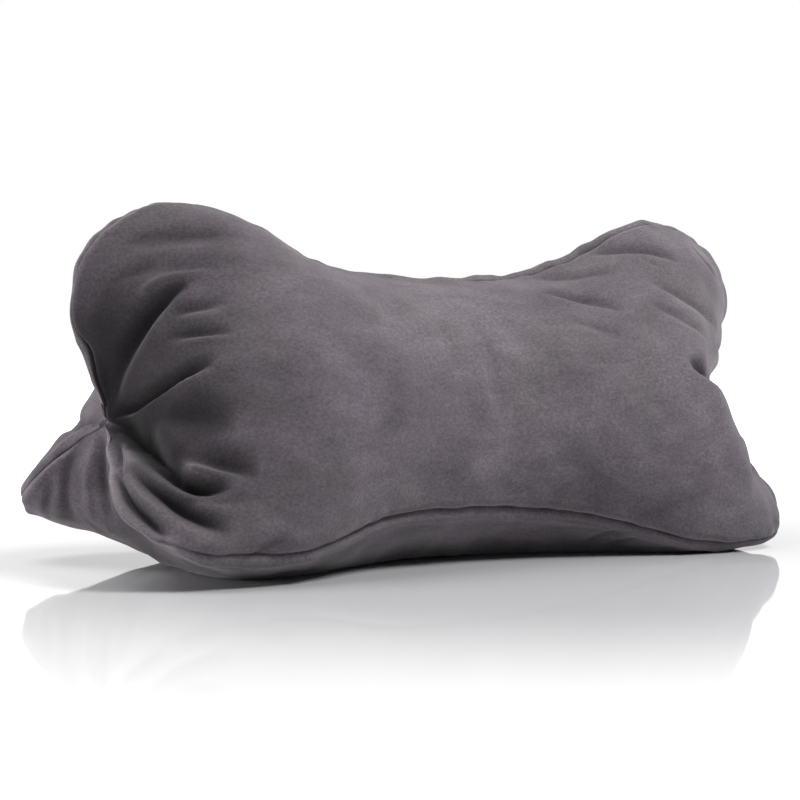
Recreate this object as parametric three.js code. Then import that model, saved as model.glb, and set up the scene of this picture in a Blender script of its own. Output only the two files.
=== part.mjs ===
// Bone-shaped reading pillow. Three bone-shaped panels of short-pile velvet are sewn edge to edge and
// filled firmly. They swell into three ears at each end, with a pinch between them where the seams meet.
// Units are millimetres, +Z is up and +X runs along the pillow. The origin is on the surface that the
// pillow rests on, under the middle of its box.

import * as THREE from "three";

// A flat panel as it is cut. It is the same on both sides of its two middle lines, so a quarter of its
// edge describes it. The edge runs from the pinch past the ear's tip and widest point to the waist.
const PANEL = {
  pinchX: 253, // half length on the long middle line
  tipX: 244.5, // half length at the tip of an ear
  tipY: 48, // distance of that tip from the long middle line
  wideX: 182, // place of the ear's widest point
  wideY: 111.5, // half width there
  waistY: 83, // half width at the waist
  pinchAngle: 111, // direction in which the edge leaves the pinch, in degrees from +X
  pinchReach: 0.34, // how far each curve holds the direction of its ends, as a share of its span
  earReach: 0.58,
  waistReach: 0.5,
};

// The cover is a net of threads. Rows go round the pillow, and columns run from pinch to pinch.
const NET = { rows: 64, columnsPerPanel: 20 };
const PANEL_FACING = [-90, 30, 150]; // the bottom, back and front panel, in degrees about +X from +Y

// How the cover pulls. Stiffness is 1 for a strip as wide as it is long, and pressure is per square mm.
const COVER = {
  pressure: 1.6e-4,
  slack: 0.15, // stiffness of a thread that is pushed together
  shear: 0.5, // stiffness of the threads across a cell
  bend: 0.05, // stiffness against folding, of threads two cells long
  stiffest: 4,
};

// How the filled pillow lies. It leans to the front, and its +X end leans more than the other.
const REST = {
  middleHeight: 81.5,
  lean: 6, // degrees
  twist: 5, // degrees more at the +X ear tips, and less at the -X ones
  twistSpan: 212, // distance of those tips from the middle
  grip: 0.5, // share of its sliding that a point loses on each step where it touches the surface
};

// Steps of the two stages, filling in the air and settling on the surface
const FILLING_STEPS = 1800;
const SETTLING_STEPS = 400;
const HEAVINESS = 1.1; // mass of a point as a share of the stiffness that it carries

// The main folds. Each is a soft trough along a bent line on one panel, through three points.
const BOTTOM = 0;
const BACK = 1;
const FRONT = 2;
const FOLDS = [
  { panel: FRONT, x1: -247, y1: -8, x2: -216, y2: -32, x3: -181, y3: -57, depth: 6, halfWidth: 8 },
  { panel: FRONT, x1: -247, y1: -5, x2: -220, y2: -8, x3: -185, y3: -13, depth: 6, halfWidth: 9 },
  { panel: FRONT, x1: -247, y1: 9, x2: -219, y2: 47, x3: -185, y3: 74, depth: 9, halfWidth: 9 },
  { panel: FRONT, x1: -232, y1: 49, x2: -213, y2: 81, x3: -184, y3: 98, depth: 6, halfWidth: 8 },
  { panel: FRONT, x1: 247, y1: 6, x2: 194, y2: 2, x3: 132, y3: -6, depth: 5, halfWidth: 10 },
  { panel: FRONT, x1: 170, y1: -87, x2: 142, y2: -89, x3: 112, y3: -95, depth: 3, halfWidth: 9 },
  { panel: BOTTOM, x1: -249, y1: 11, x2: -228, y2: 28, x3: -211, y3: 45, depth: 4, halfWidth: 8 },
  { panel: BACK, x1: -247, y1: -8, x2: -228, y2: -25, x3: -203, y3: -28, depth: 4, halfWidth: 9 },
];
const FOLD_STEPS = 12; // straight pieces that a fold's bent line is followed in

const VELVET = { color: 0x6a6468, roughness: 0.85, metalness: 0 };

const columns = PANEL_FACING.length * NET.columnsPerPanel;

// The quarter of the panel's edge, for the -X end
function quarterEdge() {
  const { pinchX, tipX, tipY, wideX, wideY, waistY, pinchReach, earReach, waistReach } = PANEL;
  const angle = THREE.MathUtils.degToRad(PANEL.pinchAngle);
  const hold = pinchReach * tipY;
  const pinch = [-pinchX, 0];
  const tip = [-tipX, tipY];
  const widest = [-wideX, wideY];
  const waist = [0, waistY];
  const curves = [
    [pinch, [-pinchX + hold * Math.cos(angle), hold * Math.sin(angle)], [-tipX, tipY - hold], tip],
    [tip, [-tipX, tipY + earReach * (wideY - tipY)], [-wideX - earReach * (tipX - wideX), wideY], widest],
    [widest, [-wideX + waistReach * wideX, wideY], [-waistReach * wideX, waistY], waist],
  ];
  const edge = new THREE.CurvePath();
  for (const curve of curves) {
    edge.add(new THREE.CubicBezierCurve(...curve.map(([x, y]) => new THREE.Vector2(x, y))));
  }
  return edge;
}

// Flat places of a panel's net points, as flat[row][step], with step 0 on the -Y edge
function flatNet() {
  const edge = quarterEdge();
  const flat = [];
  for (let row = 0; row <= NET.rows; row++) {
    const along = (2 * row) / NET.rows - 1;
    const side = along < 0 ? -1 : 1;
    const fromPinch = 1 - Math.abs(along);
    const rim = edge.getPoint(fromPinch);
    const middleX = side * PANEL.pinchX * (1 - fromPinch);
    const places = [];
    for (let step = 0; step <= NET.columnsPerPanel; step++) {
      const across = (2 * step) / NET.columnsPerPanel - 1;
      const share = Math.abs(across);
      places.push(new THREE.Vector2(middleX * (1 - share) - side * rim.x * share, across * rim.y));
    }
    flat.push(places);
  }
  return flat;
}

// Number of the net point in a row and column. Each pinch is a single point.
function pointNumber(row, column) {
  if (row === 0) return 0;
  if (row === NET.rows) return 1 + (NET.rows - 1) * columns;
  return 1 + (row - 1) * columns + (column % columns);
}

// Where the points start: the flat panels stand as the three walls of a prism, touching at their seams
function startingPoints(flat) {
  const points = new Float64Array(3 * (pointNumber(NET.rows, 0) + 1));
  PANEL_FACING.forEach((facing, panel) => {
    const angle = THREE.MathUtils.degToRad(facing);
    for (let row = 0; row <= NET.rows; row++) {
      const wall = flat[row][NET.columnsPerPanel].y / Math.sqrt(3);
      for (let step = 0; step < NET.columnsPerPanel; step++) {
        const { x, y } = flat[row][step];
        const first = 3 * pointNumber(row, panel * NET.columnsPerPanel + step);
        points[first] = x;
        points[first + 1] = wall * Math.cos(angle) - y * Math.sin(angle);
        points[first + 2] = wall * Math.sin(angle) + y * Math.cos(angle);
      }
    }
  });
  return points;
}

// Threads of one panel: along and round it, across its cells, and two cells long against folding
function panelThreads(flat, panel, threads) {
  const last = NET.columnsPerPanel;
  const point = (row, step) => pointNumber(row, panel * last + step);
  const span = (row, step, toRow, toStep) => flat[row][step].distanceTo(flat[toRow][toStep]);
  const round = (row, step) => span(row, step, row, step + 1);
  const along = (row, step) => span(row, step, row + 1, step);
  const tie = (from, to, length, width, stiffness, folding) => {
    if (from === to) return;
    const pull = stiffness * Math.min(COVER.stiffest, width / length);
    threads.push({ from, to, length, pull, folding });
  };
  for (let row = 0; row <= NET.rows; row++) {
    for (let step = 0; step < last; step++) {
      if (row < NET.rows) {
        const here = round(row, step) + round(row + 1, step);
        const width = step > 0 ? (round(row, step - 1) + round(row + 1, step - 1) + here) / 4 : here / 2;
        const cell = (here / 2) * ((along(row, step) + along(row, step + 1)) / 2);
        const rising = span(row, step, row + 1, step + 1);
        const falling = span(row, step + 1, row + 1, step);
        tie(point(row, step), point(row + 1, step), along(row, step), width, 1, false);
        tie(point(row, step), point(row + 1, step + 1), rising, cell / rising, COVER.shear, false);
        tie(point(row, step + 1), point(row + 1, step), falling, cell / falling, COVER.shear, false);
        if (row < NET.rows - 1) {
          const double = span(row, step, row + 2, step);
          tie(point(row, step), point(row + 2, step), double, width, COVER.bend, true);
        }
      }
      if (row > 0 && row < NET.rows) {
        const before = along(row - 1, step) + along(row - 1, step + 1);
        const width = (before + along(row, step) + along(row, step + 1)) / 4;
        tie(point(row, step), point(row, step + 1), round(row, step), width, 1, false);
        if (step < last - 1) {
          const double = span(row, step, row, step + 2);
          tie(point(row, step), point(row, step + 2), double, width, COVER.bend, true);
        }
      }
    }
  }
}

// Triangles of the net, as point numbers, with their faces pointing out
function netTriangles() {
  const triangles = [];
  for (let row = 0; row < NET.rows; row++) {
    for (let column = 0; column < columns; column++) {
      const a = pointNumber(row, column);
      const b = pointNumber(row, column + 1);
      const c = pointNumber(row + 1, column + 1);
      const d = pointNumber(row + 1, column);
      const firstHalf = column % NET.columnsPerPanel < NET.columnsPerPanel / 2;
      const pair = firstHalf ? [[a, b, c], [a, c, d]] : [[a, b, d], [b, c, d]];
      for (const corners of pair) {
        if (new Set(corners).size === 3) triangles.push(...corners);
      }
    }
  }
  return triangles;
}

// Adds the pull of every thread to the forces
function addThreadForces(threads, points, forces) {
  for (const { from, to, length, pull, folding } of threads) {
    const a = 3 * from;
    const b = 3 * to;
    const dx = points[b] - points[a];
    const dy = points[b + 1] - points[a + 1];
    const dz = points[b + 2] - points[a + 2];
    const now = Math.sqrt(dx * dx + dy * dy + dz * dz) + 1e-12;
    let stretch = now - length;
    if (folding && stretch > 0) continue;
    if (!folding && stretch < 0) stretch *= COVER.slack;
    const force = (pull * stretch) / now;
    forces[a] += force * dx;
    forces[a + 1] += force * dy;
    forces[a + 2] += force * dz;
    forces[b] -= force * dx;
    forces[b + 1] -= force * dy;
    forces[b + 2] -= force * dz;
  }
}

// Calls use(corner, x, y, z) for each triangle's corners with twice the triangle's area along its normal
function eachCornerNormal(triangles, points, use) {
  for (let first = 0; first < triangles.length; first += 3) {
    const a = 3 * triangles[first];
    const b = 3 * triangles[first + 1];
    const c = 3 * triangles[first + 2];
    const ux = points[b] - points[a];
    const uy = points[b + 1] - points[a + 1];
    const uz = points[b + 2] - points[a + 2];
    const vx = points[c] - points[a];
    const vy = points[c + 1] - points[a + 1];
    const vz = points[c + 2] - points[a + 2];
    const x = uy * vz - uz * vy;
    const y = uz * vx - ux * vz;
    const z = ux * vy - uy * vx;
    use(a, x, y, z);
    use(b, x, y, z);
    use(c, x, y, z);
  }
}

// Lets the filling push the cover out until both are at rest. All motion stops whenever it slows down,
// so the cover runs straight to its balance. On a surface, the middle of the pillow is held at its height.
function relax(net, steps, onSurface) {
  const { points, threads, triangles, masses } = net;
  const speeds = new Float64Array(points.length);
  const forces = new Float64Array(points.length);
  const share = COVER.pressure / 6;
  let liveliness = 0;
  for (let count = 0; count < steps; count++) {
    forces.fill(0);
    addThreadForces(threads, points, forces);
    eachCornerNormal(triangles, points, (corner, x, y, z) => {
      forces[corner] += share * x;
      forces[corner + 1] += share * y;
      forces[corner + 2] += share * z;
    });
    let energy = 0;
    for (let first = 0; first < points.length; first += 3) {
      const mass = masses[first / 3];
      for (let axis = 0; axis < 3; axis++) speeds[first + axis] += forces[first + axis] / mass;
      if (onSurface && points[first + 2] + speeds[first + 2] <= 0) {
        speeds[first] *= 1 - REST.grip;
        speeds[first + 1] *= 1 - REST.grip;
        speeds[first + 2] = -points[first + 2];
      }
      for (let axis = 0; axis < 3; axis++) {
        points[first + axis] += speeds[first + axis];
        energy += mass * speeds[first + axis] ** 2;
      }
    }
    if (onSurface) holdOnSurface(points);
    if (energy < liveliness) {
      speeds.fill(0);
      energy = 0;
    }
    liveliness = energy;
  }
}

// Moves the points up or down until their mean is at the pillow's middle height, none below the surface
function holdOnSurface(points) {
  let mean = 0;
  for (let z = 2; z < points.length; z += 3) mean += (3 * points[z]) / points.length;
  for (let z = 2; z < points.length; z += 3) points[z] = Math.max(0, points[z] + REST.middleHeight - mean);
}

// Turns the filled pillow to the way it leans and twists
function lean(points) {
  for (let first = 0; first < points.length; first += 3) {
    const degrees = REST.lean + (REST.twist * points[first]) / REST.twistSpan;
    const angle = THREE.MathUtils.degToRad(degrees);
    const [y, z] = [points[first + 1], points[first + 2]];
    points[first + 1] = y * Math.cos(angle) - z * Math.sin(angle);
    points[first + 2] = y * Math.sin(angle) + z * Math.cos(angle);
  }
}

// Depth of the folds at a flat place of a panel
function foldDepth(panel, place, folds) {
  let deepest = 0;
  for (const fold of folds) {
    if (fold.panel !== panel) continue;
    let nearest = Infinity;
    let fade = 0;
    fold.line.forEach((onLine, index) => {
      const distance = onLine.distanceTo(place);
      if (distance >= nearest) return;
      nearest = distance;
      fade = Math.sin((Math.PI * (index + 1)) / (FOLD_STEPS + 2)) ** 0.6;
    });
    deepest = Math.max(deepest, fold.depth * fade * Math.exp(-((nearest / fold.halfWidth) ** 2)));
  }
  return deepest;
}

// Presses the folds into the cover
function pressFolds(net, flat) {
  const folds = FOLDS.map((fold) => {
    const bent = new THREE.QuadraticBezierCurve(
      new THREE.Vector2(fold.x1, fold.y1),
      new THREE.Vector2(2 * fold.x2 - (fold.x1 + fold.x3) / 2, 2 * fold.y2 - (fold.y1 + fold.y3) / 2),
      new THREE.Vector2(fold.x3, fold.y3),
    );
    return { ...fold, line: bent.getPoints(FOLD_STEPS) };
  });
  const normals = new Float64Array(net.points.length);
  eachCornerNormal(net.triangles, net.points, (corner, x, y, z) => {
    normals[corner] += x;
    normals[corner + 1] += y;
    normals[corner + 2] += z;
  });
  for (let row = 1; row < NET.rows; row++) {
    for (let column = 0; column < columns; column++) {
      const first = 3 * pointNumber(row, column);
      const panel = Math.floor(column / NET.columnsPerPanel);
      const depth = foldDepth(panel, flat[row][column % NET.columnsPerPanel], folds);
      const length = Math.hypot(normals[first], normals[first + 1], normals[first + 2]);
      const touching = net.points[first + 2] === 0;
      if (touching) continue;
      for (let axis = 0; axis < 3; axis++) {
        net.points[first + axis] -= (depth * normals[first + axis]) / length;
      }
      net.points[first + 2] = Math.max(0, net.points[first + 2]);
    }
  }
}

// Moves the pillow sideways so that the origin is under the middle of its box
function centre(points) {
  for (let axis = 0; axis < 2; axis++) {
    let low = Infinity;
    let high = -Infinity;
    for (let at = axis; at < points.length; at += 3) {
      low = Math.min(low, points[at]);
      high = Math.max(high, points[at]);
    }
    for (let at = axis; at < points.length; at += 3) points[at] -= (low + high) / 2;
  }
}

// The pillow as one filled solid
function pillowGeometry() {
  const flat = flatNet();
  const threads = [];
  for (let panel = 0; panel < PANEL_FACING.length; panel++) panelThreads(flat, panel, threads);
  const points = startingPoints(flat);
  const masses = new Float64Array(points.length / 3);
  for (const { from, to, pull } of threads) {
    masses[from] += HEAVINESS * pull;
    masses[to] += HEAVINESS * pull;
  }
  const net = { points, threads, masses, triangles: netTriangles() };
  relax(net, FILLING_STEPS, false);
  lean(points);
  holdOnSurface(points);
  relax(net, SETTLING_STEPS, true);
  pressFolds(net, flat);
  centre(points);
  const geometry = new THREE.BufferGeometry();
  geometry.setAttribute("position", new THREE.BufferAttribute(new Float32Array(points), 3));
  geometry.setIndex(net.triangles);
  geometry.computeVertexNormals();
  return geometry;
}

const pillow = new THREE.Mesh(pillowGeometry(), new THREE.MeshStandardMaterial(VELVET));
pillow.name = "pillow";

const model = new THREE.Group();
model.add(pillow);

export default model;
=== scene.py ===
"""A bone-shaped reading pillow of dark grey velvet on a pale floor.

The cover is cut, sewn and filled again as a finer net than the CAD solid's, from the same named sizes.
Its folds, seams and small unevenness are then pressed into that net. Lengths are in metres, except in
the net itself, which is in millimetres like the cut panels.
"""

import math

import bpy
import numpy as np
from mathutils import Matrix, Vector


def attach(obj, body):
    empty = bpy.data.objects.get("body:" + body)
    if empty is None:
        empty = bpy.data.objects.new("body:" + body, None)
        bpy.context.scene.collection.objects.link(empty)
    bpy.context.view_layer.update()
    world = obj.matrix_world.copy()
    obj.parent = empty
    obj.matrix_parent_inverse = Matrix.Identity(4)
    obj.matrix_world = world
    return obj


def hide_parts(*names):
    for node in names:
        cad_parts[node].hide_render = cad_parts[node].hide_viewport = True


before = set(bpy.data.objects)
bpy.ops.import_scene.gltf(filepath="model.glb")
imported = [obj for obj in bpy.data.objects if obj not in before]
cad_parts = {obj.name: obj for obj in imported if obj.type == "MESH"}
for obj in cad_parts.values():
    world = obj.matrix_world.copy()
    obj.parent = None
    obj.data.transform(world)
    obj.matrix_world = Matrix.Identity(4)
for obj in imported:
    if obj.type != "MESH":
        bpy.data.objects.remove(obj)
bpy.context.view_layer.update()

MM = 0.001

# A flat panel as it is cut, a quarter of its edge, in millimetres
PINCH_X = 253.0
TIP_X, TIP_Y = 244.5, 48.0
WIDE_X, WIDE_Y = 182.0, 111.5
WAIST_Y = 83.0
PINCH_ANGLE = math.radians(111)  # direction in which the edge leaves the pinch
PINCH_REACH, EAR_REACH, WAIST_REACH = 0.34, 0.58, 0.5  # how far a curve holds its ends' directions
EDGE_STEPS, LINE_STEPS = 400, 24  # straight steps in a curve of the edge and in the line of a fold

PANEL_FACING = (-90.0, 30.0, 150.0)  # bottom, back and front panel, in degrees about +X from +Y
BOTTOM, BACK, FRONT = range(3)

# How the cover pulls, as in the CAD solid
PRESSURE = 1.6e-4
SLACK = 0.15  # stiffness of a thread that is pushed together
SHEAR = 0.5  # stiffness of the threads across a cell
BEND = 0.05  # stiffness against folding
STIFFEST = 4.0  # no thread is stiffer, however short it is
HEAVINESS = 1.1  # mass of a point for the stiffness that it carries

# How the filled pillow lies, as in the CAD solid
MIDDLE_HEIGHT = 81.5
LEAN, TWIST = math.radians(6), math.radians(5)
TWIST_SPAN = 212.0  # distance from the middle at which the twist is reached in full
GRIP = 0.5  # share of its sliding that a point loses on each step where it touches the surface

# The net is filled coarse and then once more on a finer net
COARSE_ROWS, COARSE_STEPS = 64, 20
FINER = 3
FILLING_STEPS = 1800
SETTLING_STEPS = 400
FINE_STEPS = 200

# The last net is closer together at the seams and the pinches
MESH_ROWS = 300
PANEL_STEPS = (86, 80, 144)  # columns on the bottom, back and front panel
SEAM_CROWDING, END_CROWDING = 0.42, 0.045

# Firm filling takes up the valleys at the ends, from this far out and fully so past a ramp
VALLEY_START, VALLEY_RAMP = 90.0, 60.0
FILL_ROUNDS, SMOOTH_ROUNDS = 500, 60
RESTING, NEAR_SURFACE = 0.01, 5.0  # heights below which the cover isn't filled or smoothed

# A filled valley is smoothed within this share of its half width, and from this far off a pinch
SMOOTH_SHARE, SHARE_RAMP = 0.8, 0.3
SMOOTH_FROM, FROM_RAMP = 2.0, 12.0

# Rounds that even out the outward directions, for the filling and for the folds
FILLING_ROUNDS, FOLD_ROUNDS = 120, 6

# The underside at the waist sags, most at its middle and near the surface
WAIST_SAG, SAG_REACH, SAG_HEIGHT = 5.0, 75.0, 28.0

# Nudges and folds fade out towards the surface that the pillow lies on
NUDGE_FOOT, FOLD_FOOT = 15.0, 3.0

# How round a crease is at its bottom, and how its depth fades along its line
CREASE_POWER, FADE_POWER = 1.6, 0.7

# The deepest that a fold gets at a pinch, and how much deeper with each millimetre from it
PIT_DEPTH, PIT_SLOPE = 1.0, 0.45

# Seams lie in a groove between lips, but the lower front one stands up as a crest near the -X pinch
GROOVE, GROOVE_WIDTH = 2.6, 1.7
LIP, OUTER_LIP, LIP_INSET, LIP_WIDTH = 0.8, 1.8, 5.0, 3.5
CREST, CREST_WIDTH, CREST_END, CREST_FADE = 3.4, 2.4, 125.0, 30.0
PINCH_FADE = 25.0  # seams, and folds off the front panel, fade out this near a pinch

# Puckers beside the seams, stronger in some stretches than in others
PUCKER, PUCKER_INSET, PUCKER_WIDTH, PUCKER_MOST = 0.45, 3.0, 7.0, 1.2
PUCKER_STRETCH = 0.4  # puckers run away from the seam, so their waves are slower that way
PANELS_APART = 977.0  # gives each panel waves of its own

# Pitch, number and seed of the waves in the puckers, in their strength and in the cover's unevenness
PUCKER_WAVES, STRENGTH_WAVES = (13, 14, 5), (90, 8, 6)
WIDE_WAVES, TIGHT_WAVES = (55, 16, 1), (24, 16, 2)
WIDE_HEIGHT, TIGHT_HEIGHT = 0.7, 0.3
PITCH_SPREAD = (0.7, 1.5)  # lowest and highest share of the pitch

# The thread is dark; the cloth beside it and, lighter, the crest get painted highlights of the pile's sheen
THREAD_DARK, THREAD_WIDTH = 0.75, 0.8
LIP_PAINTED_HIGHLIGHT, LIGHT_INSET, LIGHT_WIDTH = 0.15, 2.5, 1.5
CREST_PAINTED_HIGHLIGHT = 0.6

# Painted shade on the front panel where it is gathered at the -X pinch
GATHER_PAINTED_SHADE, GATHER_REACH = 0.80, 96.0
GATHER_ANGLE, GATHER_FADE = 60.0, 14.0  # in degrees at the pinch, below the panel's middle line

# Panel, end of the pillow, share of its valley that the filling takes up
FILLED_ENDS = [
    (FRONT, -1, 1.0),
    (FRONT, 1, 0.12),
    (BOTTOM, -1, 0.7),
    (BOTTOM, 1, 0.6),
    (BACK, -1, 0.7),
    (BACK, 1, 0.7),
]

VIEW_RIGHT = (0.848, -0.530)  # the viewer's right along x and y

# Places in mm, then how far the cover moves to the viewer's right and up, and how far round it follows
NUDGES = [
    (-211, -5, 122, -7.5, 0.0, 26),
    (-212, -41, 59, -8.0, 0.0, 24),
    (-155, -16, 197, 0.0, 3.5, 42),
    (203, -26, 190, -7.0, -3.5, 32),
    (155, -22, 197, 0.0, 3.0, 26),
    (-97, -25, 180, 0.0, -4.5, 45),
    (78, -15, 175, 0.0, -4.5, 45),
    (165, -86, 85, -2.0, 0.0, 40),
    (215, -92, 28, -2.5, -1.5, 32),
    (176, -56, 112, 5.5, 0.0, 26),
    (150, -90, 98, 4.5, 0.0, 24),
    (170, -89, 67, 2.0, 0.0, 22),
    (191, -85, 45, -2.0, 0.0, 16),
    (174, -39, 182, 1.5, 0.5, 22),
    (109, -16, 184, 0.0, -1.5, 30),
    (-220, -8, 138, -1.5, 0.0, 20),
    (-207, -8, 190, 2.5, -2.0, 22),
    (-213, -3, 114, 1.5, 0.0, 16),
    (-198, 44, 85, -3.5, 1.0, 20),
    (-206, 49, 72, -4.0, 1.5, 18),
    (-209, 27, 63, -2.0, 4.0, 20),
    (-197, -4, 81, -5.0, 2.0, 10),
    (-220, -42, 56, 3.2, 0.0, 15),
    (-204, 4, 77, 0.0, 2.2, 8),
    (-220, 66, 40, -2.0, -2.0, 20),
    (-210, -20, 70, 1.8, 0.0, 9),
    (-217, -33, 64, 3.2, 0.0, 13),
    (-222, -44, 57, 1.6, 0.0, 12),
    (-226, -57, 48, 1.6, 0.0, 12),
    (-204, -9, 79, -1.4, 0.0, 7),
    (-204, 9, 76, 0.0, 2.6, 8),
    (-207, 18, 71, 0.0, 2.2, 8),
    (204, -75, 41, -2.5, 0.0, 20),
    (164, -99, 12, 0.0, -3.0, 18),
]

# Panel, line through three places towards +X, deepest share of it, depth, half width below, above, lip
FOLDS = [
    # Fan at the front's left end, from the top down
    (FRONT, -203, -89, -174, -82, -135, -79, .50, 2.2, 8, 7, .8),
    (FRONT, -204, -79, -180, -74, -150, -71, .45, -1.2, 6, 6, .8),
    (FRONT, -216, -72, -204, -70, -190, -70, .50, 1.5, 3, 6, .8),
    (FRONT, -190, -65, -178, -62, -160, -60, .60, 1.8, 3, 6, .8),
    (FRONT, -205, -57, -190, -61, -164, -59, .45, -4.4, 3, 4, .6),
    (FRONT, -250, -5, -216, -36, -181, -57, .66, 8.5, 3.5, 8, .45),
    (FRONT, -193, -42, -179, -39, -163, -38, .50, 2.4, 3, 6, .9),
    (FRONT, -194, -36, -184, -35, -170, -32, .50, -1.2, 3, 3, .8),
    (FRONT, -199, -30, -184, -24, -164, -19, .55, 3.2, 3, 7, .8),
    (FRONT, -196, -21, -180, -19, -164, -14, .50, -1.0, 3, 3, .8),
    (FRONT, -251, -2, -212, 3, -172, -1, .45, 9.5, 3.5, 8, .5),
    (FRONT, -222, 42, -194, 60, -164, 69, .68, 4.5, 4, 13, .5),
    (FRONT, -205, 61, -194, 66, -172, 71, .50, -2.6, 3, 3, .6),
    (FRONT, -253, 3, -232, 31, -204, 68, .50, 18.0, 3.5, 8, .35),
    (FRONT, -232, 34, -206, 70, -180, 74, .50, 11.0, 3.5, 7, .5),
    (FRONT, -208, 79, -192, 82, -168, 82, .50, 2.0, 4, 6, .8),
    (FRONT, -232, 50, -211, 82, -182, 99, .50, 9.0, 5, 8, .6),
    (FRONT, -249, 14, -242, 36, -236, 56, .50, 2.5, 3, 4, .8),
    (FRONT, -243, 48, -232, 78, -214, 102, .55, 6.5, 4, 5, .5),
    (FRONT, -168, 112, -158, 105, -144, 102, .40, 2.0, 4, 4, .9),
    (FRONT, -251, 3, -212, 27, -174, 42, .60, 5.5, 15, 17, .3),
    (FRONT, -251, -8, -232, -38, -204, -64, .45, 4.0, 13, 15, .3),
    # Fan at the front's right end, from the top down
    (FRONT, 104, -98, 131, -85, 158, -77, .55, 3.0, 4, 8, .8),
    (FRONT, 128, -82, 135, -73, 143, -67, .50, 0.8, 2, 2, .9),
    (FRONT, 178, -93, 190, -85, 202, -74, .50, 1.6, 4, 4, .8),
    (FRONT, 128, -60, 150, -46, 185, -38, .55, 2.0, 4, 6, .8),
    (FRONT, 118, -46, 134, -32, 162, -20, .60, 1.7, 4, 6, .8),
    (FRONT, 62, -84, 86, -75, 112, -72, .50, 1.7, 6, 8, .8),
    (FRONT, 56, -62, 80, -48, 102, -35, .50, 2.1, 4, 7, .8),
    (FRONT, 60, -33, 77, -25, 92, -17, .50, 1.3, 4, 6, .8),
    (FRONT, 131, -2, 152, 10, 205, 12, .50, 7.0, 2.5, 8, .5),
    (FRONT, 178, -30, 215, -24, 249, -4, .55, 4.0, 6, 6, .6),
    (FRONT, 182, 38, 218, 32, 249, 5, .55, 5.0, 6, 6, .6),
    (FRONT, 186, 66, 222, 55, 247, 16, .50, 3.0, 6, 6, .6),
    (FRONT, 90, 93, 104, 90, 117, 82, .50, 1.0, 5, 6, .8),
    # Bottom panel, its ear at the left and then its right end
    (BOTTOM, -250, 6, -232, 20, -205, 28, .50, 3.2, 4, 5, .8),
    (BOTTOM, -246, 14, -228, 33, -204, 44, .50, -2.0, 4, 4, .7),
    (BOTTOM, -249, 14, -238, 41, -208, 62, .55, 2.8, 4, 5, .9),
    (BOTTOM, -236, 52, -226, 66, -214, 78, .50, 2.2, 4, 4, .8),
    (BOTTOM, -211, 50, -201, 53, -188, 54, .50, -1.3, 2, 2, .9),
    (BOTTOM, -212, 34, -202, 36, -190, 36, .50, -1.3, 2, 2, .9),
    (BOTTOM, -249, -8, -226, -34, -196, -48, .50, 3.0, 6, 6, .6),
    (BOTTOM, 76, -67, 83, -80, 88, -92, .55, 1.8, 4, 4, .8),
    (BOTTOM, 90, -71, 96, -82, 101, -92, .55, 1.4, 4, 4, .8),
    (BOTTOM, 184, -40, 220, -30, 249, -5, .50, 4.0, 7, 7, .6),
    (BOTTOM, 178, 44, 216, 36, 249, 6, .50, 4.0, 7, 7, .6),
    # Back panel, its left end and then its right end
    (BACK, -248, -10, -236, -26, -220, -44, .50, 1.2, 3, 3, .8),
    (BACK, -250, -4, -226, -32, -196, -46, .55, 4.5, 6, 6, .6),
    (BACK, -249, 2, -214, 10, -178, 6, .55, 4.5, 6, 7, .6),
    (BACK, -249, 12, -222, 44, -186, 60, .55, 5.0, 7, 7, .6),
    (BACK, -240, 46, -224, 74, -196, 88, .50, 3.0, 6, 6, .7),
    (BACK, 176, -58, 218, -42, 249, -7, .50, 5.0, 7, 7, .6),
    (BACK, 180, -6, 214, -4, 249, -1, .55, 4.0, 6, 6, .6),
    (BACK, 182, 50, 220, 44, 249, 7, .50, 5.5, 7, 7, .6),
    (BACK, 192, 82, 224, 68, 244, 34, .50, 3.0, 6, 6, .7),
]

WHITE = (1, 1, 1, 1)

# The velvet's two colours, and what its shader takes as it is
NAP_COLOURS = ((0.117, 0.100, 0.117, 1), (0.107, 0.096, 0.105, 1))
VELVET = {
    "Roughness": 0.9,
    "Specular IOR Level": 0.2,
    "Sheen Weight": 0.3,
    "Sheen Roughness": 0.4,
    "Sheen Tint": (0.85, 0.8, 0.85, 1),
}

# Noise in the velvet: pitch in metres, detail, stretch, turn, distortion, its range, and what that gives
PATCHES = (0.07, 4, (0.7, 1, 1.3), 0.5, 1.0, 0.35, 0.65, 0.84, 1.14)
STROKES = (0.014, 4, (0.4, 1, 1.2), 0.9, 0.6, 0.3, 0.7, 0.87, 1.12)
GRAIN = (0.0014, 3, (0.7, 1, 1), 0.0, 0.0, 0.32, 0.68, 0.80, 1.20)
TINT = (0.05, 2, (1, 1, 1), 1.3, 0.0, 0.35, 0.65, 0.0, 1.0)
# Painted shade in creases, darker the deeper they are
PAINTED_CREASE_SHADE_PER_MM = 0.80  # a crease's shade falls to this share with each millimetre of its depth

# Relief of the pile: pitch, detail, stretch and turn of its fine and coarse noise, and their shares
FINE_PILE, FINE_SHARE = (0.0009, 3), 0.6
COARSE_PILE, COARSE_SHARE = (0.006, 3, (0.5, 1, 1), 0.7), 0.8
PILE_STRENGTH, PILE_HEIGHT = 0.5, 0.0006

# Painted shade: the floor is greyer round a place near the pillow, and fades to a white that glows further
# out as painted light
FLOOR_PAINTED_SHADE_AT = (0.07, -0.06, 0.0)
GREY_FLOOR, WHITE_FLOOR = (0.62, 0.625, 0.64, 1), (0.9, 0.9, 0.9, 1)
GREY_END, WHITE_START = 0.22, 0.46
GLOW_START, GLOW_END, GLOW = 0.3, 1.0, 0.8
FLOOR_ROUGHNESS, FLOOR_REACH = 0.04, 6

# Colour sockets of the mix node, which come after those for numbers and vectors
MIX_FIRST, MIX_SECOND, MIX_RESULT = 6, 7, 2

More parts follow.
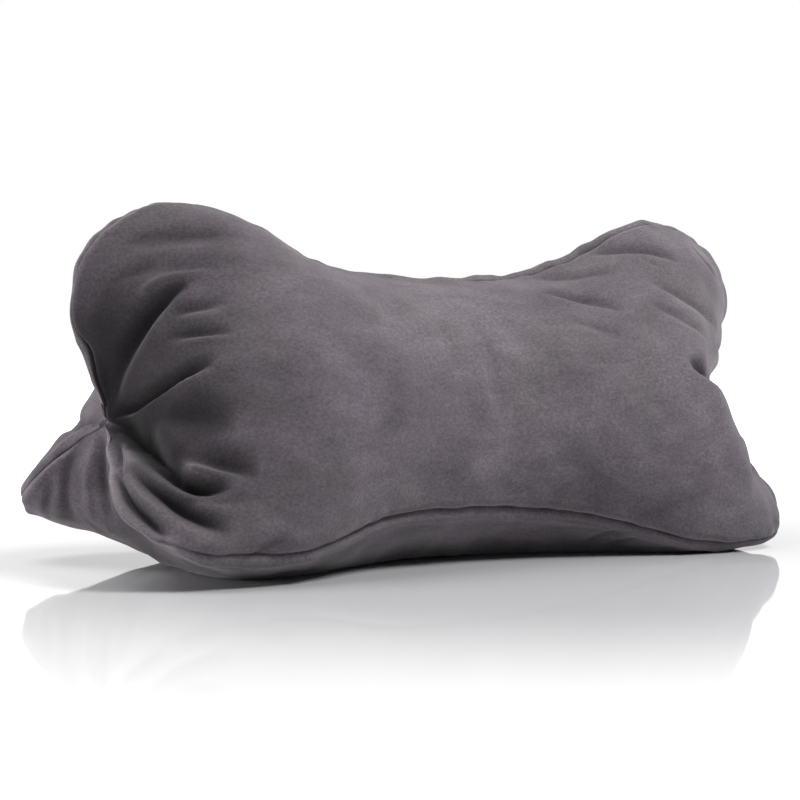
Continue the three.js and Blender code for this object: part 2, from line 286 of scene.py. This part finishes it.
# Camera at the photo's viewing angle, with the horizon's row and the origin's column in its frame
AZIMUTH = math.radians(-32.5)
DISTANCE, EYE_HEIGHT = 1.218, 0.128
FOCAL_PX, FRAME_PX = 2048.0, 800.0
HORIZON_PX, ORIGIN_PX = 338.5, 419.0
SENSOR_WIDTH = 36.0

# Light of the surroundings, then each lamp's name, place, size and power, and where all of them look
SKY_LIGHT = 0.08
LAMPS = [
    ("key", (0.62, -0.85, 1.45), 0.7, 36.5),
    ("top", (-0.60, 0.25, 1.5), 1.0, 17.5),
    ("side", (-1.0, 0.30, 0.06), 0.5, 7.5),
]
LAMPS_LOOK_AT = (0, 0, 0.09)


def bezier(p0, p1, p2, p3):
    """Points of a cubic curve."""
    t = np.linspace(0, 1, EDGE_STEPS + 1)[:, None]
    p0, p1, p2, p3 = (np.array(p, float) for p in (p0, p1, p2, p3))
    return (1 - t) ** 3 * p0 + 3 * (1 - t) ** 2 * t * p1 + 3 * (1 - t) * t * t * p2 + t**3 * p3


def quarter_edge():
    """The panel's edge from the -X pinch to the waist."""
    hold = PINCH_REACH * TIP_Y
    pinch, tip = (-PINCH_X, 0), (-TIP_X, TIP_Y)
    widest, waist = (-WIDE_X, WIDE_Y), (0, WAIST_Y)
    leave = (-PINCH_X + hold * math.cos(PINCH_ANGLE), hold * math.sin(PINCH_ANGLE))
    rise = (-TIP_X, TIP_Y + EAR_REACH * (WIDE_Y - TIP_Y))
    crest = (-WIDE_X - EAR_REACH * (TIP_X - WIDE_X), WIDE_Y)
    curves = [
        bezier(pinch, leave, (-TIP_X, TIP_Y - hold), tip),
        bezier(tip, rise, crest, widest),
        bezier(widest, (-WIDE_X * (1 - WAIST_REACH), WIDE_Y), (-WAIST_REACH * WIDE_X, WAIST_Y), waist),
    ]
    return np.vstack([curves[0], curves[1][1:], curves[2][1:]])


def flat_net(down, across):
    """Flat places of a panel's net, as [row, step, (x, y)], down from 0 to 1 and across from -1 to 1."""
    edge = quarter_edge()
    length = np.r_[0, np.cumsum(np.linalg.norm(np.diff(edge, axis=0), axis=1))]
    along = 2 * down - 1
    side = np.where(along < 0, -1, 1)
    from_pinch = 1 - abs(along)
    rim_x = -side * np.interp(from_pinch * length[-1], length, edge[:, 0])
    rim_y = np.interp(from_pinch * length[-1], length, edge[:, 1])
    middle_x = side * PINCH_X * (1 - from_pinch)
    share = abs(across)
    flat = np.empty((len(down), len(across), 2))
    flat[..., 0] = middle_x[:, None] * (1 - share) + rim_x[:, None] * share
    flat[..., 1] = rim_y[:, None] * across
    return flat


class Net:
    """The sewn cover as threads between points, held as [axis, row, column]."""

    def __init__(self, rows, steps):
        self.rows, self.steps = rows, steps
        self.flat = flat_net(np.linspace(0, 1, rows + 1), np.linspace(-1, 1, steps + 1))
        self.families = self.threads()
        self.mass = self.masses()

    def start(self):
        """The flat panels as the three walls of a prism."""
        walls = []
        for facing in np.radians(PANEL_FACING):
            x, y = self.flat[:, :-1, 0], self.flat[:, :-1, 1]
            wall = self.flat[:, -1:, 1] / math.sqrt(3) + 0 * x
            turned = (wall * np.cos(facing) - y * np.sin(facing), wall * np.sin(facing) + y * np.cos(facing))
            walls.append(np.stack([x, *turned]))
        return np.concatenate(walls, axis=2)

    def threads(self):
        """Threads as (row step, column step, column of the first end, length, pull, resists folding only)."""
        flat, steps = self.flat, self.steps

        def span(a, b):
            return np.linalg.norm(b - a, axis=-1)

        around = span(flat[:, :-1], flat[:, 1:])
        along = span(flat[:-1], flat[1:])
        rising = span(flat[:-1, :-1], flat[1:, 1:])
        falling = span(flat[:-1, 1:], flat[1:, :-1])
        beside = (around[:-1] + around[1:]) / 2
        width = beside.copy()
        width[:, 1:] = (beside[:, 1:] + beside[:, :-1]) / 2
        cell = beside * (along[:, :-1] + along[:, 1:]) / 2
        mean_along = (along[:, :-1] + along[:, 1:]) / 2
        height = np.zeros_like(around)
        height[1:-1] = (mean_along[1:] + mean_along[:-1]) / 2
        long_along = span(flat[:-2, :-1], flat[2:, :-1])
        long_around = np.full_like(around, np.inf)
        long_around[:, : steps - 1] = span(flat[:, :-2], flat[:, 2:])

        def pull(stiffness, wide, length):
            with np.errstate(divide="ignore", invalid="ignore"):
                share = np.where(np.isfinite(length) & (length > 0), wide / length, 0)
            return stiffness * np.minimum(STIFFEST, share)

        def family(row, column, first, length, strength, folding):
            length = np.where(np.isfinite(length), length, 1)
            return row, column, first, np.tile(length, (1, 3)), np.tile(strength, (1, 3)), folding

        return [
            family(1, 0, 0, along[:, :-1], pull(1, width, along[:, :-1]), False),
            family(1, 1, 0, rising, pull(SHEAR, cell / rising, rising), False),
            family(1, -1, 1, falling, pull(SHEAR, cell / falling, falling), False),
            family(2, 0, 0, long_along, pull(BEND, width[:-1], long_along), True),
            family(0, 1, 0, around, pull(1, height, around), False),
            family(0, 2, 0, long_around, pull(BEND, height, long_around), True),
        ]

    def pulls(self, points):
        """Force of all threads on each point."""
        total = np.zeros_like(points)
        for row, column, first, length, strength, folding in self.families:
            last = points.shape[1] - row
            start = np.roll(points, -first, axis=2)[:, :last]
            end = np.roll(points, -first - column, axis=2)[:, row:]
            gap = end - start
            now = np.sqrt(gap[0] ** 2 + gap[1] ** 2 + gap[2] ** 2) + 1e-12
            stretch = now - length
            if folding:
                stretch = np.minimum(stretch, 0)
            else:
                stretch = np.where(stretch < 0, stretch * SLACK, stretch)
            force = gap * (strength * stretch / now)
            total[:, :last] += np.roll(force, first, axis=2)
            total[:, row:] -= np.roll(force, first + column, axis=2)
        return total

    def masses(self):
        """Mass of each point, from the stiffness that it carries."""
        mass = np.zeros((self.rows + 1, 3 * self.steps))
        for row, column, first, _, strength, _ in self.families:
            last = self.rows + 1 - row
            mass[:last] += np.roll(strength, first, axis=1)
            mass[row:] += np.roll(strength, first + column, axis=1)
        mass[0], mass[-1] = mass[0].sum(), mass[-1].sum()
        return HEAVINESS * mass


def area_vectors(points):
    """A quarter of the area of the four cells round each point, along the outward normal."""
    padded = np.pad(points, ((0, 0), (1, 1), (0, 0)), mode="edge")
    along = (padded[:, 2:] - padded[:, :-2]) / 2
    around = (np.roll(points, -1, 2) - np.roll(points, 1, 2)) / 2
    return np.cross(around, along, axis=0)


def relax(net, points, count, on_surface):
    """Lets the filling push the cover out, in place. Motion is stopped whenever it starts to slow down."""
    speed = np.zeros_like(points)
    liveliness = 0.0
    for _ in range(count):
        force = net.pulls(points) + PRESSURE * area_vectors(points)
        for pole in (0, -1):
            force[:, pole] = force[:, pole].sum(axis=1, keepdims=True)
        speed += force / net.mass
        if on_surface:
            low = points[2] + speed[2] <= 0
            speed[:2, low] *= 1 - GRIP
            speed[2, low] = -points[2, low]
        points += speed
        energy = once_each(net.mass * (speed**2).sum(axis=0)).sum()
        if on_surface:
            hold_on_surface(points)
        if energy < liveliness:
            speed[:] = 0
            energy = 0.0
        liveliness = energy


def once_each(values):
    """Values of the net's points, with each pinch once."""
    return np.concatenate([values[0, :1], values[1:-1].ravel(), values[-1, :1]])


def hold_on_surface(points):
    """Moves the points until their mean is at the pillow's middle height, none below the surface."""
    np.maximum(points[2] + MIDDLE_HEIGHT - once_each(points[2]).mean(), 0, out=points[2])


def lean(points):
    """Turns the filled pillow to the way it leans and twists."""
    angle = LEAN + TWIST * points[0] / TWIST_SPAN
    y, z = points[1].copy(), points[2].copy()
    points[1] = y * np.cos(angle) - z * np.sin(angle)
    points[2] = y * np.sin(angle) + z * np.cos(angle)


def resampled(values, place, axis):
    """Values at fractional places along an axis, on a smooth curve through the old ones."""
    values = np.moveaxis(values, axis, 0)
    last = len(values) - 1
    low = np.clip(np.floor(place).astype(int), 0, last - 1)
    t = (place - low).reshape(-1, *[1] * (values.ndim - 1))
    padded = np.concatenate([2 * values[:1] - values[1:2], values, 2 * values[-1:] - values[-2:-1]])
    before, first, second, after = (padded[low + i] for i in range(4))
    leaving, arriving = (second - before) / 2, (after - first) / 2
    rise = second - first
    curve = first + t * leaving + t**2 * (3 * rise - 2 * leaving - arriving)
    return np.moveaxis(curve + t**3 * (leaving + arriving - 2 * rise), 0, axis)


def soft_step(value):
    """From 0 to 1, level at both ends."""
    value = np.clip(value, 0, 1)
    return value**2 * (3 - 2 * value)


def bell(distance, width):
    """1 at no distance, and falling off softly on both sides."""
    return np.exp(-((distance / width) ** 2))


def pinch_distance(flat):
    """Distance of each flat place from the nearer pinch."""
    return np.linalg.norm(abs(flat) - [PINCH_X, 0], axis=-1)


def panel(points, number):
    """The points of one panel, both seams included."""
    steps = points.shape[2] // 3
    columns = np.arange(number * steps, (number + 1) * steps + 1) % (3 * steps)
    return points[:, :, columns]


def crowded(steps):
    """Places across a panel from -1 to 1, closer together near its two seams."""
    u = np.linspace(0, 1, steps // 2 + 1)
    half = 1 - SEAM_CROWDING * u - (1 - SEAM_CROWDING) * u**2
    return np.r_[-half, half[-2::-1]]


def mean_around(values):
    """The mean of each point's two neighbours in its row."""
    return (np.roll(values, 1, -1) + np.roll(values, -1, -1)) / 2


def evened(values):
    """Each point moved halfway to its neighbours' mean, pinches included."""
    values = (values + mean_around(values)) / 2
    along = values.copy()
    along[:, 1:-1] = (values[:, :-2] + values[:, 2:]) / 2
    values = (values + along) / 2
    for pole, ring in ((0, 1), (-1, -2)):
        values[:, pole] = values[:, ring].mean(axis=1, keepdims=True)
    return values


def outward(points, rounds):
    """Outward directions, evened out over the net."""
    way = area_vectors(points)
    way /= np.linalg.norm(way, axis=0) + 1e-9
    for _ in range(rounds):
        way = evened(way)
    return way / (np.linalg.norm(way, axis=0) + 1e-9)


def valley_shares(flat):
    """Share of a valley that the filling takes up at each flat place, for the three panels side by side."""
    shares = [np.zeros(flat.shape[:-1]) for _ in range(3)]
    for number, side, amount in FILLED_ENDS:
        shares[number] += amount * soft_step((side * flat[..., 0] - VALLEY_START) / VALLEY_RAMP)
    return np.concatenate(shares, axis=1)


def fill_end_valleys(points):
    """Firm filling stands up in the deep valleys at both ends, so they turn shallow."""
    steps = points.shape[2] // 3
    seams = np.arange(3) * steps
    places = np.linspace(-1, 1, steps + 1)
    flat = flat_net(np.linspace(0, 1, points.shape[1]), places)[:, :-1]
    share = valley_shares(flat)
    level = points.copy()
    for _ in range(FILL_ROUNDS):
        moved = mean_around(level)
        moved[..., seams] = level[..., seams]
        level = moved
    way = outward(points, FILLING_ROUNDS)
    gain = np.maximum(0, ((level - points) * way).sum(0)) * share * (points[2] > RESTING)
    points += gain * way

    off_seams = np.tile(soft_step((SMOOTH_SHARE - abs(places[:-1])) / SHARE_RAMP), 3)
    off_pinches = np.tile(soft_step((pinch_distance(flat) - SMOOTH_FROM) / FROM_RAMP), (1, 3))
    inner = off_seams * share * (points[2] > NEAR_SURFACE) * off_pinches
    for _ in range(SMOOTH_ROUNDS):
        points += inner * (evened(points) - points)


def nudge(points):
    """Moves the cover softly round the nudged places."""
    low = points[:2].min(axis=(1, 2))
    high = points[:2].max(axis=(1, 2))
    middle = np.r_[(low + high) / 2, 0]
    at = points - middle[:, None, None]
    push = np.zeros_like(points)
    for x, y, z, right, up, radius in NUDGES:
        squared = ((at - np.array([x, y, z], float)[:, None, None]) ** 2).sum(0)
        weight = np.exp(-squared / radius**2)
        for axis, part in enumerate((right * VIEW_RIGHT[0], right * VIEW_RIGHT[1], up)):
            push[axis] += part * weight
    points += push * soft_step(points[2] / NUDGE_FOOT)


def lower_waist(points):
    """Lets the underside at the waist sag almost to the surface."""
    weight = np.exp(-((points[0] / SAG_REACH) ** 2) - (points[2] / SAG_HEIGHT) ** 2)
    points[2] = np.maximum(0, points[2] - WAIST_SAG * weight)


def bent_line(x1, y1, x2, y2, x3, y3):
    """A curve through three places on a flat panel."""
    t = np.linspace(0, 1, LINE_STEPS + 1)[:, None]
    first, middle, last = (np.array(v, float) for v in ((x1, y1), (x2, y2), (x3, y3)))
    bow = 2 * middle - (first + last) / 2
    return (1 - t) ** 2 * first + 2 * (1 - t) * t * bow + t * t * last


def fold_shape(flat, fold):
    """Height of a fold at each flat place, in millimetres."""
    _, x1, y1, x2, y2, x3, y3, peak, depth, below, above, lip = fold
    line = bent_line(x1, y1, x2, y2, x3, y3)
    distance = np.full(flat.shape[:-1], np.inf)
    along = np.zeros_like(distance)
    side = np.zeros_like(distance)
    for i in range(LINE_STEPS):
        step = line[i + 1] - line[i]
        offset = flat - line[i]
        t = np.clip(offset @ step / (step @ step), 0, 1)
        away = np.linalg.norm(offset - t[..., None] * step, axis=-1)
        near = away < distance
        distance = np.where(near, away, distance)
        along = np.where(near, (i + t) / LINE_STEPS, along)
        side = np.where(near, step[0] * offset[..., 1] - step[1] * offset[..., 0], side)
    width = np.where(side > 0, below, above)
    share = (distance / width) ** CREASE_POWER
    fade = np.sin(np.pi * np.clip(along, 1e-6, 1) ** (math.log(0.5) / math.log(peak))) ** FADE_POWER
    return -depth * fade * (1 - lip * share) * np.exp(-share)


def final_net(points):
    """The points on the last net, their flat places, and how far in from its seam each lies flat."""
    rows, steps = points.shape[1] - 1, points.shape[2] // 3
    down = np.linspace(0, 1, MESH_ROWS + 1)
    down -= END_CROWDING * np.sin(2 * math.pi * down)
    half_width = flat_net(down, np.array([1.0]))[..., 1]
    panels, flats, insets = [], [], []
    for number, count in enumerate(PANEL_STEPS):
        across = crowded(count)
        net = resampled(resampled(panel(points, number), down * rows, 1), (across + 1) / 2 * steps, 2)
        panels.append(net[:, :, :-1])
        flats.append(flat_net(down, across)[:, :-1])
        insets.append((half_width * (1 - abs(across)))[:, :-1])
    parts = ((panels, 2), (flats, 1), (insets, 1))
    return (np.ascontiguousarray(np.concatenate(part, axis=axis)) for part, axis in parts)


def waves(places, pitch, count, seed):
    """Seeded soft noise from sine waves of about one pitch, from about -1 to 1."""
    dice = np.random.default_rng(seed)
    total = np.zeros(places.shape[1:])
    for _ in range(count):
        way = dice.normal(size=places.shape[0])
        way *= 2 * math.pi / (pitch * dice.uniform(*PITCH_SPREAD) * np.linalg.norm(way))
        total += np.sin(np.tensordot(way, places, 1) + dice.uniform(0, 2 * math.pi))
    return total / math.sqrt(count / 2)


def fold_heights(flat):
    """Height of all folds together at each flat place, in millimetres."""
    seams = np.r_[0, np.cumsum(PANEL_STEPS)]
    heights = np.zeros(flat.shape[:-1])
    for fold in FOLDS:
        columns = slice(seams[fold[0]], seams[fold[0] + 1])
        heights[:, columns] += fold_shape(flat[:, columns], fold)
    return heights


def open_share(flat):
    """How far a seam is open, from 0 at a pinch to 1 a little away from it."""
    return np.minimum(1, pinch_distance(flat) / PINCH_FADE)


def crest_share(flat, numbers):
    """How far the lower front seam stands up instead of lying in its groove, from 0 to 1."""
    beside = ((numbers == FRONT) & (flat[..., 1] > 0)) | ((numbers == BOTTOM) & (flat[..., 1] <= 0))
    return beside * (flat[..., 0] < 0) * soft_step((CREST_END - pinch_distance(flat)) / CREST_FADE)


def seam_heights(flat, inset, numbers):
    """Height of the seams' grooves, lips, crest and puckers, in millimetres."""
    crest = crest_share(flat, numbers)
    lip = np.where(numbers == FRONT, LIP, OUTER_LIP) * bell(inset - LIP_INSET, LIP_WIDTH)
    groove = lip - GROOVE * np.exp(-inset / GROOVE_WIDTH)
    seam = groove * (1 - crest) + CREST * crest * bell(inset, CREST_WIDTH)
    runs = np.stack([flat[..., 0], numbers * PANELS_APART, inset * PUCKER_STRETCH])
    strength = np.clip(0.5 + 0.5 * waves(runs[:2], *STRENGTH_WAVES), 0, PUCKER_MOST)
    return seam + PUCKER * waves(runs, *PUCKER_WAVES) * strength * bell(inset - PUCKER_INSET, PUCKER_WIDTH)


def thread_tone_and_painted_light(flat, inset, numbers):
    """Brightness painted into the cover: its dark threads, painted highlights beside them and on the crest,
    and painted shade in the gathers.
    """
    crest = crest_share(flat, numbers)
    shade = 1 - THREAD_DARK * (1 - crest) * open_share(flat) * bell(inset, THREAD_WIDTH)
    # Painted highlights of the pile's sheen beside the seams and on the crest
    shade += LIP_PAINTED_HIGHLIGHT * (1 - crest) * bell(inset - LIGHT_INSET, LIGHT_WIDTH)
    shade += CREST_PAINTED_HIGHLIGHT * crest * bell(inset, CREST_WIDTH)
    # Painted shade in the gathered fan beside the -X pinch
    angle = np.degrees(np.arctan2(flat[..., 1], PINCH_X - abs(flat[..., 0])))
    gathered = (numbers == FRONT) * (flat[..., 0] < 0) * soft_step((GATHER_ANGLE - angle) / GATHER_FADE)
    return shade * (1 - GATHER_PAINTED_SHADE * gathered * bell(pinch_distance(flat), GATHER_REACH))


def carve(points, flat, inset):
    """Presses folds, seams and unevenness into the cover. Gives its points, creases, and its thread tone with
    painted highlights and shade.
    """
    numbers = np.broadcast_to(np.repeat((BOTTOM, BACK, FRONT), PANEL_STEPS), inset.shape)
    opening = open_share(flat)
    folds = fold_heights(flat) * np.where(numbers == FRONT, 1, opening)
    deepest = PIT_DEPTH + PIT_SLOPE * pinch_distance(flat)
    pressed = np.where(folds < 0, deepest * np.tanh(folds / deepest), folds)
    uneven = WIDE_HEIGHT * waves(points, *WIDE_WAVES) + TIGHT_HEIGHT * waves(points, *TIGHT_WAVES)
    height = pressed + seam_heights(flat, inset, numbers) * opening + uneven
    points = points + outward(points, FOLD_ROUNDS) * height * np.clip(points[2] / FOLD_FOOT, 0, 1)
    points[2] = np.maximum(points[2], 0)
    return points, -folds, thread_tone_and_painted_light(flat, inset, numbers)


def filled_cover():
    """The points of the cover on the fine net, filled and settled on the surface."""
    coarse = Net(COARSE_ROWS, COARSE_STEPS)
    points = coarse.start()
    relax(coarse, points, FILLING_STEPS, False)
    lean(points)
    hold_on_surface(points)
    relax(coarse, points, SETTLING_STEPS, True)
    fine = Net(COARSE_ROWS * FINER, COARSE_STEPS * FINER)
    panels = []
    for number in range(3):
        part = panel(points, number)
        for axis in (1, 2):
            part = resampled(part, np.arange((part.shape[axis] - 1) * FINER + 1) / FINER, axis)
        panels.append(part[:, :, :-1])
    points = np.ascontiguousarray(np.concatenate(panels, axis=2))
    points[2] = np.maximum(points[2], 0)
    relax(fine, points, FINE_STEPS, True)
    return points


def cover_mesh(name, points, creases, shades):
    """A closed mesh of the net, with one point at each pinch, the creases' depths, and the thread tone with
    painted highlights and shade.
    """
    rows, columns = points.shape[1] - 1, points.shape[2]
    verts = np.stack([once_each(axis) for axis in points], axis=1) * MM
    number = np.empty((rows + 1, columns), int)
    number[0], number[-1] = 0, len(verts) - 1
    number[1:-1] = 1 + np.arange((rows - 1) * columns).reshape(rows - 1, columns)
    beside = np.roll(number, -1, axis=1)
    quads = np.stack([number[1:-2], beside[1:-2], beside[2:-1], number[2:-1]], axis=-1)
    faces = quads.reshape(-1, 4).tolist()
    faces += np.stack([number[0], beside[1], number[1]], axis=-1).tolist()
    faces += np.stack([number[-2], beside[-2], number[-1]], axis=-1).tolist()
    mesh = bpy.data.meshes.new(name)
    mesh.from_pydata(verts.tolist(), [], faces)
    for attribute, values in (("crease_depth", creases), ("thread_and_painted_light", shades)):
        layer = mesh.attributes.new(attribute, "FLOAT", "POINT")
        layer.data.foreach_set("value", once_each(values).astype(np.float32))
    mesh.update()
    mesh.shade_smooth()
    return mesh


def node(tree, kind, inputs=(), **settings):
    """A shader node with its settings, and a value or a link for each of its named inputs."""
    made = tree.nodes.new("ShaderNode" + kind)
    for name, value in settings.items():
        setattr(made, name, value)
    for name, value in dict(inputs).items():
        if isinstance(value, bpy.types.NodeSocket):
            tree.links.new(value, made.inputs[name])
        else:
            made.inputs[name].default_value = value
    return made


def noise(tree, place, pitch, detail, stretch=(1, 1, 1), turn=0.0, distortion=0.0):
    """Soft noise with patches of about the given pitch in metres, longer where stretch is under 1."""
    turned = node(tree, "Mapping", {"Vector": place, "Rotation": (turn, turn, turn), "Scale": stretch})
    settings = {"Vector": turned.outputs[0], "Scale": 1 / pitch, "Detail": detail, "Distortion": distortion}
    return node(tree, "TexNoise", settings).outputs["Fac"]


def math_node(tree, operation, first, second):
    """Two values put together by a math operation."""
    return node(tree, "Math", {0: first, 1: second}, operation=operation).outputs[0]


def spread(tree, value, low, high, to_low, to_high):
    """A value moved from one range to another, and held within it."""
    ends = {"Value": value, "From Min": low, "From Max": high, "To Min": to_low, "To Max": to_high}
    return node(tree, "MapRange", ends).outputs[0]


def mottle(tree, place, pitch, detail, stretch, turn, distortion, low, high, to_low, to_high):
    """Noise whose range from low to high gives the values from to_low to to_high."""
    value = noise(tree, place, pitch, detail, stretch, turn, distortion)
    return spread(tree, value, low, high, to_low, to_high)


def smooth_rise(tree, value, start, end, most=1.0):
    """A value that rises softly from 0 at the start to the most at the end."""
    ends = {"Value": value, "From Min": start, "From Max": end, "To Max": most}
    return node(tree, "MapRange", ends, interpolation_type="SMOOTHSTEP").outputs[0]


def colour_mix(tree, factor, first, second):
    """A colour between two others."""
    mix = node(tree, "Mix", data_type="RGBA")
    tree.links.new(factor, mix.inputs["Factor"])
    mix.inputs[MIX_FIRST].default_value = first
    mix.inputs[MIX_SECOND].default_value = second
    return mix.outputs[MIX_RESULT]


def new_material(name):
    """A material with its node tree, its main shader and the places on its object."""
    material = bpy.data.materials.new(name)
    material.use_nodes = True
    tree = material.node_tree
    return material, tree, tree.nodes["Principled BSDF"], node(tree, "TexCoord").outputs["Object"]


def velvet_material():
    """Short pile in dark warm grey, with nap patches, strokes and grain, dark seams, painted highlights
    beside the seams and on the crest, and painted shade in creases and at the -X pinch.
    """
    material, tree, shader, place = new_material("velvet")
    # Painted shade: the colour darkens with each millimetre of a crease's depth
    depth = node(tree, "Attribute", attribute_name="crease_depth").outputs["Fac"]
    crease = math_node(tree, "POWER", PAINTED_CREASE_SHADE_PER_MM, math_node(tree, "MAXIMUM", depth, 0.0))
    # Dark threads with painted highlights at the seams and painted shade at the -X pinch
    pile = node(tree, "Attribute", attribute_name="thread_and_painted_light").outputs["Fac"]
    shade = mottle(tree, place, *PATCHES)
    for part in (mottle(tree, place, *STROKES), mottle(tree, place, *GRAIN), pile, crease):
        shade = math_node(tree, "MULTIPLY", shade, part)
    colour = colour_mix(tree, mottle(tree, place, *TINT), *NAP_COLOURS)
    shaded = node(tree, "VectorMath", {0: colour, "Scale": shade}, operation="SCALE")
    tree.links.new(shaded.outputs[0], shader.inputs["Base Color"])

    fine = math_node(tree, "MULTIPLY", noise(tree, place, *FINE_PILE), FINE_SHARE)
    coarse = math_node(tree, "MULTIPLY", noise(tree, place, *COARSE_PILE), COARSE_SHARE)
    height = math_node(tree, "ADD", fine, coarse)
    relief = node(tree, "Bump", {"Height": height, "Strength": PILE_STRENGTH, "Distance": PILE_HEIGHT})
    tree.links.new(relief.outputs[0], shader.inputs["Normal"])
    for name, value in VELVET.items():
        shader.inputs[name].default_value = value
    return material


def floor_material():
    """A smooth pale surface with painted shade near the pillow, fading to a white that glows as painted
    light.
    """
    material, tree, shader, place = new_material("pale_floor")
    distance = node(tree, "VectorMath", {0: place, 1: FLOOR_PAINTED_SHADE_AT}, operation="DISTANCE").outputs["Value"]
    # Painted shade round the pillow, fading out to white
    fade = smooth_rise(tree, distance, GREY_END, WHITE_START)
    tree.links.new(colour_mix(tree, fade, GREY_FLOOR, WHITE_FLOOR), shader.inputs["Base Color"])
    # The far floor glows as painted light
    glow = smooth_rise(tree, distance, GLOW_START, GLOW_END, GLOW)
    tree.links.new(glow, shader.inputs["Emission Strength"])
    shader.inputs["Emission Color"].default_value = WHITE
    shader.inputs["Roughness"].default_value = FLOOR_ROUGHNESS
    return material


def added(name, data, material=None):
    """A new object of the given data in the scene."""
    thing = bpy.data.objects.new(name, data)
    bpy.context.scene.collection.objects.link(thing)
    if material:
        data.materials.append(material)
    return thing


def made_pillow():
    """The sewn, filled and folded pillow."""
    points = filled_cover()
    nudge(points)
    lower_waist(points)
    fill_end_valleys(points)
    for axis in (0, 1):
        points[axis] -= (points[axis].min() + points[axis].max()) / 2
    points, flat, inset = final_net(points)
    points, creases, shades = carve(points, flat, inset)
    return added("velvet_pillow", cover_mesh("velvet_pillow", points, creases, shades), velvet_material())


def made_camera():
    """A camera at the photo's viewing angle."""
    camera = added("camera", bpy.data.cameras.new("camera"))
    camera.data.sensor_width = SENSOR_WIDTH
    camera.data.lens = SENSOR_WIDTH * FOCAL_PX / FRAME_PX
    camera.location = (math.sin(AZIMUTH) * DISTANCE, -math.cos(AZIMUTH) * DISTANCE, EYE_HEIGHT)
    pitch = math.atan((FRAME_PX / 2 - HORIZON_PX) / FOCAL_PX)
    pan = math.atan((ORIGIN_PX - FRAME_PX / 2) / FOCAL_PX)
    camera.rotation_euler = (math.pi / 2 - pitch, 0, AZIMUTH + pan)
    return camera


def made_floor():
    """A wide square floor."""
    mesh = bpy.data.meshes.new("floor")
    corners = [(x * FLOOR_REACH, y * FLOOR_REACH, 0) for x, y in ((-1, -1), (1, -1), (1, 1), (-1, 1))]
    mesh.from_pydata(corners, [], [(0, 1, 2, 3)])
    return added("floor", mesh, floor_material())


def make_surroundings():
    """White surroundings, dimmer as a light than as a background."""
    world = bpy.data.worlds.new("studio")
    bpy.context.scene.world = world
    bpy.context.scene.view_settings.view_transform = "Standard"
    world.use_nodes = True
    tree = world.node_tree
    sky = tree.nodes["Background"]
    rays = node(tree, "LightPath").outputs
    seen = math_node(tree, "MAXIMUM", rays["Is Camera Ray"], rays["Is Glossy Ray"])
    sky.inputs["Color"].default_value = WHITE
    tree.links.new(spread(tree, seen, 0, 1, SKY_LIGHT, 1.0), sky.inputs["Strength"])


def make_lamp(name, place, size, power):
    """A soft square lamp that looks at the pillow's middle and isn't seen itself."""
    light = added(name, bpy.data.lights.new(name, "AREA"))
    light.data.size = size
    light.data.energy = power
    light.location = place
    light.visible_camera = False
    light.visible_glossy = False
    light.rotation_euler = (Vector(LAMPS_LOOK_AT) - Vector(place)).to_track_quat("-Z", "Y").to_euler()


pillow = made_pillow()
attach(pillow, "root")
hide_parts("pillow")

bpy.context.scene.camera = made_camera()
floor = made_floor()
make_surroundings()
for values in LAMPS:
    make_lamp(*values)
